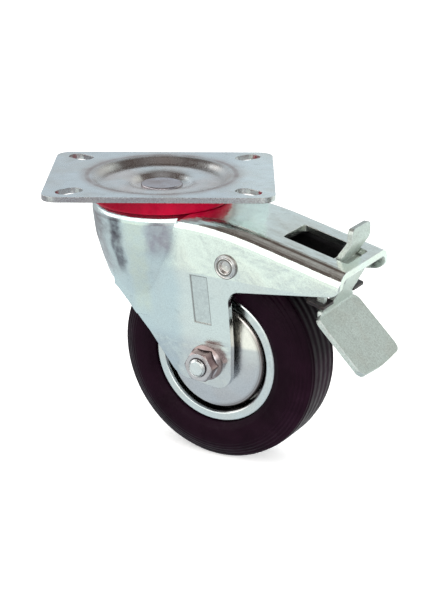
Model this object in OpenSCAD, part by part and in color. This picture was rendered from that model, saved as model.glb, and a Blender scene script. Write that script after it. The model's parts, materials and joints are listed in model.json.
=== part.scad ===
// Swivel plate caster with a total-lock foot brake, a 100 mm rubber wheel and a pressed steel fork.
// Origin: centre of the plate's top face, on the swivel axis. +Z up, X along the plate's long side.
// The fork, wheel and brake are drawn in the fork's own frame, where +X is the trailing side,
// and swivel_turn then turns them together about the swivel axis.

/* [Top plate] */
// Length of the plate
plate_l = 104; // [100:1:130]
// Width of the plate
plate_w = 80; // [78:1:110]
// Sheet thickness of the plate
plate_t = 2.5; // [2:0.1:3]
// Corner radius of the plate
plate_corner_r = 7; // [3:0.5:10]
// From the plate's short edge to the slots' centres
slot_margin_x = 12; // [11:0.5:14]
// From the plate's long edge to the slots' centres
slot_margin_y = 10; // [9.5:0.5:12]
// Slot width
slot_w = 8.5; // [6:0.5:9]
// Slot length, end to end
slot_l = 13; // [10:0.5:14]
// Depth of the dish floor
dish_depth = 3.4; // [3:0.1:4]
// Depth of the middle dimple below the plate's face
dimple_depth = 5.6; // [5:0.1:6]

/* [Swivel bearing] */
// Diameter of the balls
ball_d = 5.5; // [5:0.1:6]
// Depth of the ball grooves
groove_depth = 0.5; // [0.3:0.1:0.8]
// Diameter of the king pin
king_pin_d = 12; // [10:0.5:12.5]
// Wall of the dust seal
seal_t = 1.5; // [1:0.1:1.5]
// Running gap between the plate and the dust seal
seal_gap = 1.1; // [0.8:0.1:1.6]
// Number of notches in the swivel lock ring
lock_notches = 24; // [12:12:24]

/* [Fork] */
// Sheet thickness of the fork
fork_t = 3; // [2.5:0.1:3.2]
// Width over the fork's arm
arm_w = 48.6; // [48:0.1:50]
// Width over the fork's legs at the axle
leg_w = 40; // [40:0.5:41]
// Radius of the fork's shoulder round the head
head_r = 33; // [33:0.1:34]
// Outer radius of the bend along the arm
bend_r = 7; // [5.5:0.5:8]
// Reach of the arm from the swivel axis
arm_reach = 105.5; // [104.5:0.5:110]
// Length of the window in the arm
window_l = 31.8; // [30:0.2:32.4]
// Width of the window in the arm
window_w = 21; // [20.5:0.5:24]
// Trail: distance from the swivel axis back to the axle
trail = 36; // [35:0.5:37]
// Drop of the tyre's top below the plate's face
tyre_drop = 29.5; // [29.5:0.5:34]
// Turn of the fork about the swivel axis, as shown
swivel_turn = -30; // [-180:15:180]

/* [Wheel] */
// Diameter of the wheel
wheel_d = 100; // [96:1:101]
// Width of the tyre
tyre_w = 32; // [28:0.5:32.5]
// Diameter of the rim's rolled flange
flange_d = 63; // [60:0.5:66]
// Distance between the outer faces of the two rim flanges
rim_w = 25.6; // [24:0.2:27]
// Sheet thickness of the rim
rim_t = 1.6; // [1.2:0.1:2]
// Outer diameter of the hub tube
hub_d = 28; // [26.4:0.2:30]
// Diameter of the bearing rollers
roller_d = 4; // [3:0.1:4.2]
// Number of bearing rollers
rollers_n = 12; // [8:1:13]
// Outer diameter of the axle sleeve
sleeve_d = 15; // [13:0.5:15]
// Diameter of the axle bolt
axle_d = 8; // [7:0.5:9]
// Width of the axle nut across its flats
nut_af = 13; // [12:0.5:14]

/* [Brake] */
// Sheet thickness of the brake lever
lever_t = 2.4; // [2:0.1:2.6]
// Width of the pedal
pedal_w = 38.6; // [34:0.4:42]
// Length of the pedal along its slope
pedal_l = 34.5; // [26:0.5:38]
// Width of the neck and of the release ear
neck_w = 18; // [14:0.5:20]
// Thickness of the spring leaf
leaf_t = 1.3; // [1.1:0.1:1.6]
// Diameter of the pivot rivets' shanks
pivot_d = 6; // [5:0.5:7]

/* [Hidden] */
$fn = 96;

// Clearances
slip = 0.05;        // between pieces that are clamped or roll on each other
turn_gap = 0.08;    // radial running clearance of a pivot
lever_gap = 0.4;    // between the lever and the inside of the fork
lots = 200;         // longer than anything here
overlap = 0.1;      // how far two joined stretches of the arm run into each other

// Rings of the swivel bearing, in step with the fork's head
ring_step = head_r / 33;
dish_r = head_r + 0.4;              // where the plate starts to fall into its dish
seal_r = head_r + 0.25;
upper_row_r = 24 * ring_step;
lower_row_r = 18 * ring_step;
king_head_d = 19.4 * ring_step;
function balls_round(r) = floor(180 / asin(ball_d * 0.52 / r));

// Heights of the swivel bearing, worked down from the plate
lead_r = 50;                        // the slow curve from the flat towards the dish
lead_a = 5.7;
dish_wall_a = 48;                   // slope of the dish's wall, degrees
dish_top_r = 3.2;                   // radius of the roll into the dish
dish_foot_r = 1.6;                  // radius at the foot of the dish's wall
dome_r = 25.6;                      // radius of the floor's gentle dome
dome_in_r = 15.5 * ring_step;       // where the floor falls into the dimple
dimple_r = 12.3 * ring_step;        // flat of the dimple
lead_sag = (lead_r - dish_top_r) * (1 - cos(lead_a));
wall_drop = dish_depth - lead_sag - (dish_top_r + dish_foot_r) * (1 - cos(dish_wall_a));
floor_out_r = dish_r - (dish_top_r + dish_foot_r) * sin(dish_wall_a) - wall_drop / tan(dish_wall_a);
dome_mid_r = (floor_out_r + dome_in_r) / 2;
dome_z = -dish_depth - sqrt(pow(dome_r, 2) - pow(floor_out_r - dome_mid_r, 2));
upper_race_z = dome_z + sqrt(pow(dome_r - plate_t, 2) - pow(upper_row_r - dome_mid_r, 2));
upper_ball_z = upper_race_z - ball_d / 2 - slip;
head_z = upper_ball_z - ball_d / 2 - slip + groove_depth;
head_under_z = head_z - fork_t;
lower_ball_z = head_under_z + groove_depth - ball_d / 2 - slip;
cup_z = lower_ball_z - ball_d / 2 - slip + groove_depth;
cup_t = 2.5;
cup_r = lower_row_r + ball_d / 2 + 1.8;
lock_z = cup_z - cup_t;
lock_t = 2.5;
lock_r = upper_row_r;
notch_w = 5;
notch_depth = 4.2;
king_nut_z = lock_z - lock_t;
king_nut_h = 6;
king_nut_af = 19;
king_head_t = 1.3;
head_bore_r = 13 * ring_step;

// The arm's top line: flat over the head, then an arc, then straight down its slope
arm_start = 25;
arm_arc_r = 165;
arm_slope = 13.2;
arm_end_x = arm_start + arm_arc_r * sin(arm_slope);
arm_end_z = head_z - arm_arc_r * (1 - cos(arm_slope));
function arm_top(x) = arm_end_z - (x - arm_end_x) * tan(arm_slope);

// The fork's side outline
shoulder_r = 4.5;
apron_z = -47;
taper_top_z = -36;
taper_low_z = -70;
leg_back = 13;                      // from the axle to the leg's trailing edge
leg_below = 12;                     // from the axle to the leg's lower edge
arm_low_z = -42.2;                  // lower edge of the arm at the leg
arm_low_slope = 8;
window_end = arm_reach - 4.2;
pivot_x = 48.8;
pivot_z = -30;
axle_z = -wheel_d / 2 - tyre_drop;

// Wheel
wheel_r = wheel_d / 2;
seat_r = flange_d / 2 - 3.0;        // outside of the rim, on which the tyre sits
sidewall = wheel_r - flange_d / 2;
hub_bore_r = sleeve_d / 2 + roller_d + 0.2;
hub_end = rim_w / 2 - 0.6;          // half the length of the hub tube
cover_t = 1.1;
cover_r = seat_r - rim_t - 1.6;     // the dust cover's edge, just inside the rim
roller_l = 20;
cage_l = 23;
leg_in = leg_w / 2 - fork_t;        // inside of the legs at the axle

// Brake lever
lever_half = arm_w / 2 - fork_t - lever_gap;
lever_bend_r = bend_r - fork_t - lever_gap;
ear_foot = [93.2, arm_top(93.2) - fork_t - lever_gap - lever_t / 2];
neck_top = [101.2, arm_top(101.2) - fork_t - lever_gap - lever_t / 2];
pedal_top = [90.3, -47.6];
pedal_slope = 44.5;
tab_x = [90, 93.4];                 // the lever's two tabs that carry the leaf's end
leaf_finger = [neck_w / 2 + 0.9, lever_half - 0.7];     // across each of the leaf's end fingers
tab_mid = (leaf_finger[0] + leaf_finger[1]) / 2;
tab_y = [tab_mid - 1.2, tab_mid + 1.2];
tab_z = -43.6;
leaf_end = [95.2, -42.5];
leaf_half = lever_half - lever_t - 3.5;

// Colours
zinc = [0.76, 0.80, 0.80];
dull_zinc = [0.70, 0.73, 0.71];
plate_zinc = [0.66, 0.70, 0.74];
steel = [0.55, 0.56, 0.58];
red = [0.75, 0.03, 0.12];
black_rubber = [0.10, 0.06, 0.08];
black_steel = [0.08, 0.07, 0.08];

// Points of an arc about c with radius r, from angle a0 to a1
function arc(c, r, a0, a1, n = 10) =
    [for (i = [0:n]) let (a = a0 + (a1 - a0) * i / n) [c[0] + r * cos(a), c[1] + r * sin(a)]];

function unit(v) = v / norm(v);

// The rounded corner at b between a and c, with radius r
function corner(a, b, c, r, n) =
    let (u = unit([a[0] - b[0], a[1] - b[1]]), v = unit([c[0] - b[0], c[1] - b[1]]),
         half = acos(max(-1, min(1, u * v))) / 2)
    r <= 0 || half > 89.5 ? [[b[0], b[1]]]
    : let (mid = [b[0], b[1]] + unit(u + v) * r / sin(half),
           p = [b[0], b[1]] + u * r / tan(half), q = [b[0], b[1]] + v * r / tan(half),
           a0 = atan2(p[1] - mid[1], p[0] - mid[0]), a1 = atan2(q[1] - mid[1], q[0] - mid[0]),
           turn = a1 - a0 > 180 ? a1 - a0 - 360 : a1 - a0 < -180 ? a1 - a0 + 360 : a1 - a0)
      [for (i = [0:n]) mid + r * [cos(a0 + turn * i / n), sin(a0 + turn * i / n)]];

// A closed outline whose points are [x, y, corner radius]
function rounded(p, n = 6) =
    let (m = len(p))
    [for (i = [0:m - 1]) each corner(p[(i + m - 1) % m], p[i], p[(i + 1) % m], p[i][2], n)];

// An open line whose inner points are [x, y, bend radius]
function bent(p, n = 6) =
    let (m = len(p))
    [[p[0][0], p[0][1]],
     for (i = [1:m - 2]) each corner(p[i - 1], p[i], p[i + 1], p[i][2], n),
     [p[m - 1][0], p[m - 1][1]]];

// The line p moved sideways by d, to its left when d is positive
function beside(p, d) =
    let (m = len(p))
    [for (i = [0:m - 1])
        let (u = i == 0 ? unit(p[1] - p[0]) : unit(p[i] - p[i - 1]),
             v = i == m - 1 ? u : unit(p[i + 1] - p[i]),
             w = unit(u + v))
        p[i] + [-w[1], w[0]] * d / (w * u)];

function reversed(p) = [for (i = [len(p) - 1:-1:0]) p[i]];

// The outline of a sheet of thickness t along the line p
function sheet(p, t) = concat(beside(p, t / 2), reversed(beside(p, -t / 2)));

// A side outline in the fork's X-Z plane, drawn out to the half width w each way
module across(w) rotate([90, 0, 0]) linear_extrude(2 * w, center = true) children();

// Local +Z becomes the near side of the wheel, along the axle
module at_axle() translate([trail, 0, axle_z]) rotate([90, 0, 0]) children();

module turned() rotate([0, 0, swivel_turn]) children();

// The dish in the plate: half section from the flat to the middle, off below the top face
function dish_line(off) = concat(
    [[dish_r + 5.5, -off]],
    arc([dish_r + (lead_r - dish_top_r) * sin(lead_a), -lead_r], lead_r - off, 90, 90 + lead_a, 4),
    arc([dish_r, -dish_top_r - lead_sag], dish_top_r - off, 92 + lead_a, 90 + dish_wall_a, 6),
    arc([floor_out_r, -dish_depth + dish_foot_r], dish_foot_r + off, dish_wall_a - 90, -90, 6),
    [for (i = [1:11])
        let (r = floor_out_r + (dome_in_r - floor_out_r) * i / 12)
        [r, dome_z + sqrt(pow(dome_r - off, 2) - pow(r - dome_mid_r, 2))]],
    [for (i = [0:8])
        let (r = dome_in_r + off / 2 + (dimple_r - dome_in_r) * i / 8)
        [r, -dish_depth - off - (dimple_depth - dish_depth) * (1 - cos(180 * i / 8)) / 2]],
    [[0, -dimple_depth - off]]);

module slot_hole() {
    turn = atan2(3, 4);
    half = (slot_l - slot_w) / 2;
    rotate([0, 0, turn])
        translate([0, 0, -plate_t - 1]) {
            for (s = [-1, 1])
                translate([s * half, 0, 0]) cylinder(d = slot_w, h = plate_t + 2);
            translate([-half, -slot_w / 2, 0]) cube([2 * half, slot_w, plate_t + 2]);
        }
}

module top_plate() {
    l = plate_l / 2;
    w = plate_w / 2;
    color(plate_zinc)
    difference() {
        union() {
            translate([0, 0, -plate_t])
                linear_extrude(plate_t)
                    polygon(rounded([for (p = [[-l, -w], [l, -w], [l, w], [-l, w]])
                                        [p[0], p[1], plate_corner_r]], 10));
            rotate_extrude()
                polygon(concat(dish_line(plate_t), [[0, -plate_t / 2], [dish_r + 5.5, -plate_t / 2]]));
        }
        rotate_extrude()
            polygon(concat(dish_line(0), [[0, 1], [dish_r + 5.5, 1]]));
        for (mx = [0, 1], my = [0, 1])
            mirror([mx, 0, 0]) mirror([0, my, 0])
                translate([l - slot_margin_x, w - slot_margin_y, 0]) slot_hole();
        translate([0, 0, -lots / 2]) cylinder(d = king_pin_d + 2 * slip, h = lots);
    }
}

module king_pin() {
    top = -dimple_depth + king_head_t;
    color(plate_zinc) {
        rotate_extrude()
            polygon(rounded([[0, -dimple_depth, 0], [king_head_d / 2, -dimple_depth, 0],
                             [king_head_d / 2, top, 0.8], [0, top, 0]]));
        translate([0, 0, king_nut_z - king_nut_h - 1.2])
            cylinder(d = king_pin_d, h = -dimple_depth - king_nut_z + king_nut_h + 1.2);
    }
}

module race_spacer() {
    top = -dimple_depth - plate_t;
    color(steel)
    translate([0, 0, cup_z])
    difference() {
        cylinder(d = king_pin_d + 8, h = top - cup_z);
        translate([0, 0, -1]) cylinder(d = king_pin_d + 2 * slip, h = lots);
    }
}

// One groove that a ball row rolls in
module groove(row_r, z) {
    translate([0, 0, z])
        rotate_extrude() translate([row_r, 0]) circle(d = ball_d + 4 * slip, $fn = 48);
}

module lower_race() {
    lip = 1.2;
    color(steel)
    difference() {
        rotate_extrude()
            polygon(rounded([[king_pin_d / 2 + slip, cup_z, 0], [king_pin_d / 2 + slip, cup_z - cup_t, 0],
                             [cup_r, cup_z - cup_t, 1.5], [cup_r, cup_z + 2.4, 0.4],
                             [cup_r - lip, cup_z + 2.4, 0.4], [cup_r - lip, cup_z, 0.5]]));
        groove(lower_row_r, lower_ball_z);
    }
}

module lock_ring() {
    color(steel)
    translate([0, 0, lock_z - lock_t])
    difference() {
        cylinder(r = lock_r, h = lock_t);
        translate([0, 0, -1]) cylinder(d = king_pin_d + 2 * slip, h = lots);
        for (i = [0:lock_notches - 1])
            rotate([0, 0, i * 360 / lock_notches])
                translate([lock_r - notch_depth, -notch_w / 2, -1])
                    cube([notch_depth + 1, notch_w, lock_t + 2]);
    }
}

// A chamfered hexagon nut or bolt head standing on z = 0
module hexagon(af, h, chamfer = 0.8) {
    corner_r = af / sqrt(3);
    intersection() {
        cylinder(r = corner_r, h = h, $fn = 6);
        rotate_extrude()
            polygon([[0, 0], [corner_r, 0], [corner_r, h - chamfer],
                     [af / 2 - 0.1, h], [0, h]]);
    }
}

module king_nut() {
    color(steel)
    translate([0, 0, king_nut_z - king_nut_h])
    difference() {
        translate([0, 0, king_nut_h]) mirror([0, 0, 1]) hexagon(king_nut_af, king_nut_h);
        translate([0, 0, -1]) cylinder(d = king_pin_d + 2 * slip, h = lots);
    }
}

module ball_row(n, row_r, z) {
    for (i = [0:n - 1])
        rotate([0, 0, i * 360 / n])
            translate([row_r, 0, z]) sphere(d = ball_d, $fn = 32);
}

module upper_balls() color(steel) turned() ball_row(balls_round(upper_row_r), upper_row_r, upper_ball_z);
module lower_balls() color(steel) turned() ball_row(balls_round(lower_row_r), lower_row_r, lower_ball_z);

module dust_seal() {
    r = seal_r;
    in_r = upper_row_r + ball_d / 2 + 0.5;
    top = -plate_t - seal_gap;
    color(red)
    rotate_extrude()
        polygon(rounded([[in_r, head_z, 0], [r - 0.5, head_z, 0.3], [r, head_z + 1, 0.3],
                         [r, top, 0.3], [r - 0.4, top, 0.1], [r - seal_t, top - 1.6, 0.4],
                         [r - seal_t, head_z + 1.6, 0.6], [in_r, head_z + 1.6, 0.3]]));
}

// The fork's body of revolution about the swivel axis: its shoulder and the apron in front.
// d is the distance inside the outer face.
module head_form(d) {
    rotate_extrude()
        polygon(rounded([[0, head_z - d, 0], [head_r - d, head_z - d, shoulder_r - d * 0.9],
                         [head_r - 2 - d, -27, 30], [head_r - 5.2 - d, -38, 20],
                         [head_r - 8 - d, -46, 12], [head_r - 10.4 - d, -52, 8],
                         [head_r - 11.4 - d, -62, 0], [0, -62, 0]], 5));
}

// A channel that follows the arm's top line, with its faces d inside the fork's outer faces
module arm_form(half, top_off, r) {
    deep = 110;
    section = rounded([[-half, -deep, 0], [half, -deep, 0],
                       [half, -top_off, r], [-half, -top_off, r]], 8);
    translate([-50, 0, head_z])
        rotate([90, 0, 90]) linear_extrude(50 + arm_start) polygon(section);
    translate([arm_start, 0, head_z - arm_arc_r]) {
        rotate([-90, 0, 0]) rotate([0, 0, -90])
            rotate_extrude(angle = arm_slope, $fn = 360)
                polygon([for (p = section) [arm_arc_r + p[1], p[0]]]);
        rotate([0, arm_slope, 0]) translate([-overlap, 0, arm_arc_r])
            rotate([90, 0, 90]) linear_extrude(70) polygon(section);
    }
}

// The fork's width seen from the front, d inside its outer faces: wide at the arm, narrow at the axle
module width_form(d, x0) {
    a = arm_w / 2 - d;
    b = leg_w / 2 - d;
    translate([x0, 0, 0])
        rotate([90, 0, 90]) linear_extrude(lots)
            polygon([[-a, 0], [-a, taper_top_z], [-b, taper_low_z], [-b, -lots / 2],
                     [b, -lots / 2], [b, taper_low_z], [a, taper_top_z], [a, 0]]);
}

module side_outline() {
    low_z = axle_z - leg_below;
    back_x = trail + leg_back;
    arm_low_end = arm_low_z + (arm_reach - back_x) * tan(arm_low_slope);
    polygon(rounded([[-45, 0, 0], [-45, apron_z, 0], [-13.2, apron_z, 12],
                     [trail - 15, low_z + 2.6, 12], [back_x, low_z - 0.6, 7.5],
                     [back_x, arm_low_z, 6.5], [arm_reach - 0.5, arm_low_end, 6],
                     [arm_reach, 0, 0]], 10));
}

// The arm's end seen from above, with a slightly bowed tip
module end_outline() {
    bow = 0.9;
    half = arm_w / 2;
    polygon(concat([[-60, -60], [arm_reach - 30, -60], [arm_reach - 1.5, -half]],
                   [for (i = [-6:6]) [arm_reach - bow * pow(i / 6, 2), half * i / 6 * 0.97]],
                   [[arm_reach - 1.5, half], [arm_reach - 30, 60], [-60, 60]]));
}

module fork() {
    color(zinc)
    turned()
    difference() {
        intersection() {
            union() {
                head_form(0);
                intersection() {
                    arm_form(arm_w / 2, 0, bend_r);
                    width_form(0, -12);
                }
            }
            across(lots / 2) side_outline();
            translate([0, 0, -lots / 2]) linear_extrude(lots) end_outline();
        }
        // The hollow under the sheet
        head_form(fork_t);
        intersection() {
            arm_form(arm_w / 2 - fork_t, fork_t, bend_r - fork_t);
            union() {
                width_form(fork_t, 0);
                intersection() {
                    width_form(fork_t, -30);
                    translate([-30, -lots / 2, -lots]) cube([60, lots, lots + apron_z]);
                }
            }
        }
        // The window, the bores and the ball grooves
        window();
        for (p = [[trail, axle_z, axle_d + 0.3], [pivot_x, pivot_z, pivot_d + 2 * slip]])
            translate([p[0], 0, p[1]]) rotate([90, 0, 0])
                cylinder(d = p[2], h = lots, center = true);
        translate([0, 0, -lots / 2]) cylinder(r = head_bore_r, h = lots);
        groove(upper_row_r, upper_ball_z);
        groove(lower_row_r, lower_ball_z);
        stamped_field();
    }
}

module window() {
    w = window_w / 2;
    translate([0, 0, -50])
        linear_extrude(50)
            polygon(rounded([[window_end - window_l, -w, 1.5], [window_end, -w, 1.5],
                             [window_end, w, 1.5], [window_end - window_l, w, 1.5]]));
}

// A shallow plain rectangle pressed into the near side plate
module stamped_field() {
    depth = 0.45;
    intersection() {
        translate([0, -lots / 4, 0]) across(lots / 4)
            polygon(rounded([[30, -37.2, 0.8], [38.6, -36.8, 0.8], [39.4, -60.2, 0.8], [30.6, -60.4, 0.8]]));
        difference() {
            width_form(-1, 0);
            width_form(depth, -1);
        }
    }
}

module pivot_rivets() {
    head_r = pivot_d / 2 + 2.7;
    head_t = 1.5;
    inner = lever_half - lever_t - slip;
    color(steel)
    turned()
    translate([pivot_x, 0, pivot_z])
    for (side = [-1, 1])
        rotate([90 * side, 0, 0])
            rotate_extrude()
                polygon(rounded([[0, inner - 1.2, 0], [pivot_d / 2 + 1.6, inner - 1.2, 0.5],
                                 [pivot_d / 2 + 1.6, inner, 0], [pivot_d / 2, inner, 0],
                                 [pivot_d / 2, arm_w / 2, 0], [head_r, arm_w / 2, 0.2],
                                 [head_r, arm_w / 2 + 0.7, 0.3], [head_r - 0.6, arm_w / 2 + 1, 0.3],
                                 [head_r - 1.1, arm_w / 2 + 0.5, 0.2], [head_r - 1.4, arm_w / 2 + head_t, 0.5],
                                 [head_r - 2.9, arm_w / 2 + head_t, 0.5],
                                 [head_r - 3.3, arm_w / 2 - 0.4, 0.3], [0, arm_w / 2 - 0.6, 0]]));
}

module axle_bolt() {
    head_h = 5.3;
    washer_t = 1.6;
    end = leg_w / 2 + 9.3;
    head_face = -leg_w / 2 - washer_t;
    color(steel)
    turned() at_axle() {
        translate([0, 0, head_face]) mirror([0, 0, 1]) hexagon(nut_af, head_h);
        rotate_extrude()
            polygon([[0, head_face], [axle_d / 2, head_face], [axle_d / 2, end - 0.8],
                     [axle_d / 2 - 0.8, end], [0, end]]);
    }
}

module axle_nut() {
    flange_r = nut_af / 2 + 1.9;
    color(steel)
    turned() at_axle()
    translate([0, 0, leg_w / 2])
    difference() {
        union() {
            rotate_extrude()
                polygon([[0, 0], [flange_r, 0], [flange_r, 0.8], [nut_af / 2, 2], [0, 2]]);
            hexagon(nut_af, 7.6);
        }
        translate([0, 0, -1]) cylinder(d = axle_d + 2 * slip, h = 10);
    }
}

module far_washer() {
    color(steel)
    turned() at_axle()
    translate([0, 0, -leg_w / 2 - 1.6])
    difference() {
        cylinder(r = axle_d, h = 1.6);
        translate([0, 0, -1]) cylinder(d = axle_d + 2 * slip, h = 4);
    }
}

module axle_sleeve() {
    color(steel)
    turned() at_axle()
    difference() {
        cylinder(d = sleeve_d, h = 2 * leg_in, center = true);
        cylinder(d = axle_d + 2 * slip, h = lots, center = true);
    }
}

module tyre() {
    w = tyre_w / 2;
    bed = rim_w / 2 - rim_t;
    flange_r = flange_d / 2;
    tread = 9;
    half = [[seat_r + slip, bed, 0], [flange_r + 0.3, bed, 0], [flange_r + 0.4, rim_w / 2 + 0.6, 0.8],
            [flange_r + 0.19 * sidewall, w - 0.8, 0.16 * sidewall],
            [wheel_r - 0.43 * sidewall, w, 0.6 * sidewall], [wheel_r - 1.6, w - 4.2, 5],
            [wheel_r - 0.55, tread + 2.0, 0], [wheel_r - 1.0, tread + 1.6, 0], [wheel_r - 0.4, tread + 1.2, 0],
            [wheel_r - 0.25, tread, 0], [wheel_r - 0.75, tread - 0.4, 0], [wheel_r - 0.1, tread - 0.8, 0],
            [wheel_r, tread - 3, 0]];
    color(black_rubber)
    turned() at_axle()
    rotate_extrude($fn = 180)
        polygon(rounded(concat(half, [for (p = reversed(half)) [p[0], -p[1], p[2]]]), 6));
}

// One pressed half of the rim: rolled flange, tyre seat and web, welded on the hub tube
module rim_half() {
    face = rim_w / 2;
    flange_r = flange_d / 2;
    color(zinc)
    rotate_extrude($fn = 180)
        polygon(rounded([[flange_r, face - rim_t, 0], [flange_r, face - 0.3, 0.3], [flange_r - 0.8, face, 0.7],
                         [seat_r - rim_t + 0.7, face, 0.5], [seat_r - rim_t, face - 0.9, 0.3],
                         [seat_r - rim_t, 0.1 + rim_t, 1.2], [hub_d / 2 + slip, 0.1 + rim_t, 0],
                         [hub_d / 2 + slip, 0.1, 0], [seat_r, 0.1, 1.5], [seat_r, face - rim_t, 0]]));
}

module near_rim() turned() at_axle() rim_half();
module far_rim() turned() at_axle() mirror([0, 0, 1]) rim_half();

// A dished disc pressed against the end of the hub tube
module dust_cover() {
    r = cover_r;
    in_r = sleeve_d / 2 + 0.5;
    fall = 0.9;
    drop = 2.3;                             // from the middle of the dome to its edge
    base = hub_end + slip + fall / 2;       // the falling dome rests on the hub tube's outer edge
    flat_r = in_r + (r - in_r) * 0.14;      // where the dome starts to fall away
    fall_r = in_r + (r - in_r) * 0.58;
    color(zinc)
    rotate_extrude($fn = 180)
        polygon(rounded([[in_r, base, 0], [in_r, base + cover_t, 0.4],
                         [flat_r, base + cover_t, 20], [fall_r, base + cover_t - fall, 40],
                         [r - 0.8, base + cover_t - drop, 1], [r, base - drop, 0.3], [r, base - 3.6, 0.2],
                         [r - cover_t, base - 3.6, 0.2], [r - cover_t, base - drop - 0.1, 0.5],
                         [fall_r, base - fall, 40], [flat_r, base, 20]], 8));
}

module near_dust_cover() turned() at_axle() dust_cover();
module far_dust_cover() turned() at_axle() mirror([0, 0, 1]) dust_cover();

module hub_tube() {
    color(steel)
    turned() at_axle()
    difference() {
        cylinder(d = hub_d, h = 2 * hub_end, center = true);
        cylinder(r = hub_bore_r, h = lots, center = true);
    }
}

roller_row_r = sleeve_d / 2 + roller_d / 2 + 0.1;

module roller_cage() {
    wall = 1;
    color(dull_zinc)
    turned() at_axle()
    difference() {
        cylinder(r = roller_row_r + wall, h = cage_l, center = true);
        cylinder(r = roller_row_r - wall, h = lots, center = true);
        for (i = [0:rollers_n - 1])
            rotate([0, 0, i * 360 / rollers_n])
                translate([roller_row_r, 0, 0])
                    cylinder(d = roller_d + 0.2, h = roller_l + 0.4, center = true, $fn = 32);
    }
}

module rollers() {
    color(steel)
    turned() at_axle()
    for (i = [0:rollers_n - 1])
        rotate([0, 0, i * 360 / rollers_n])
            translate([roller_row_r, 0, 0])
                cylinder(d = roller_d, h = roller_l, center = true, $fn = 32);
}

// Side outline of the lever's two arms, from the pivot eye back to the neck
module lever_side() {
    eye = 8.4;
    rear = arm_low_z + (tab_x[0] - trail - leg_back) * tan(arm_low_slope) + 1.5;
    polygon(rounded([[pivot_x - eye, pivot_z - eye, 8], [pivot_x - eye, pivot_z + eye, 8],
                     [pivot_x + 1.2, pivot_z + eye, 2], [pivot_x + 1.2, 0, 0], [99.5, 0, 0],
                     [99.5, -29.5, 2], [95.5, rear, 3], [tab_x[0], rear, 1.5],
                     [pivot_x + 10, pivot_z - eye, 20]]));
}

module brake_lever() {
    clear = fork_t + lever_gap;
    half_neck = neck_w / 2;
    hole = [pivot_x + 14, 91.5];
    hole_half = window_w / 2 + 2;
    pedal_dir = [cos(pedal_slope), -sin(pedal_slope)];
    color(dull_zinc)
    turned()
    difference() {
        union() {
            // Channel under the arm's web
            difference() {
                intersection() {
                    arm_form(lever_half, clear, lever_bend_r);
                    across(lever_half) lever_side();
                }
                arm_form(lever_half - lever_t, clear + lever_t, lever_bend_r - lever_t);
            }
            // Neck, flaring to the pedal
            intersection() {
                across(pedal_w / 2)
                    polygon(sheet(bent([[neck_top[0] - 7, neck_top[1] + 7 * tan(arm_slope), 0],
                                        [neck_top[0], neck_top[1], 3.2], [pedal_top[0], pedal_top[1], 2.6],
                                        each [pedal_top + 6 * pedal_dir]]), lever_t));
                rotate([90, 0, 90]) linear_extrude(lots)
                    polygon(rounded([[-half_neck, 0, 0], [-half_neck, -42, 3], [-pedal_w / 2 + 4, -46.4, 2],
                                     [-pedal_w / 2 + 4, -60, 0], [pedal_w / 2 - 4, -60, 0],
                                     [pedal_w / 2 - 4, -46.4, 2], [half_neck, -42, 3], [half_neck, 0, 0]], 8));
            }
            pedal();
            ear();
            leaf_tabs();
        }
        // The hole that the ear was cut from
        translate([0, 0, -32]) linear_extrude(32)
            polygon(rounded([[hole[0], -hole_half, 1.5], [hole[1], -hole_half, 1.5],
                             [hole[1], hole_half, 1.5], [hole[0], hole_half, 1.5]]));
        translate([pivot_x, 0, pivot_z]) rotate([90, 0, 0])
            cylinder(d = pivot_d + 2 * turn_gap, h = lots, center = true);
    }
}

// Two tabs bent down from the lever's top, which pass through the leaf's slots and carry its end
module leaf_tabs() {
    top = arm_top(tab_x[0]) - fork_t - lever_gap - lever_t / 2;
    for (side = [-1, 1])
        translate([0, side > 0 ? tab_y[0] : -tab_y[1], 0])
            translate([0, tab_y[1] - tab_y[0], 0]) rotate([90, 0, 0])
                linear_extrude(tab_y[1] - tab_y[0])
                    polygon(rounded([[tab_x[0], top, 0], [tab_x[0], tab_z, 0.6],
                                     [tab_x[1], tab_z, 1.2], [tab_x[1] + 1.4, top - 2, 0]]));
}

// The foot plate, sloping down and back
module pedal() {
    w = pedal_w / 2;
    translate([pedal_top[0], 0, pedal_top[1]])
        rotate([0, pedal_slope, 0])
            translate([0, 0, -lever_t / 2])
                linear_extrude(lever_t)
                    polygon(rounded([[0.6, -w + 0.4, 4], [pedal_l - 1.4, -w, 4], [pedal_l, 0, 60],
                                     [pedal_l - 1.4, w, 4], [0.6, w - 0.4, 4]], 8));
}

// The release ear, bent up through the arm's window
module ear() {
    w = neck_w / 2;
    intersection() {
        across(w)
            polygon(sheet(bent([[ear_foot[0] - 1.9, ear_foot[1] + 1.9 * tan(arm_slope), 0],
                                [ear_foot[0] + 0.6, ear_foot[1], 1.6], [101.5, -15, 5],
                                [101.5, -8.6, 0]]), lever_t));
        rotate([90, 0, 90]) linear_extrude(lots)
            polygon(rounded([[-w, -40, 0], [w, -40, 0], [w, -8.6, 2.5], [-w, -8.6, 2.5]], 8));
    }
}

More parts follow.
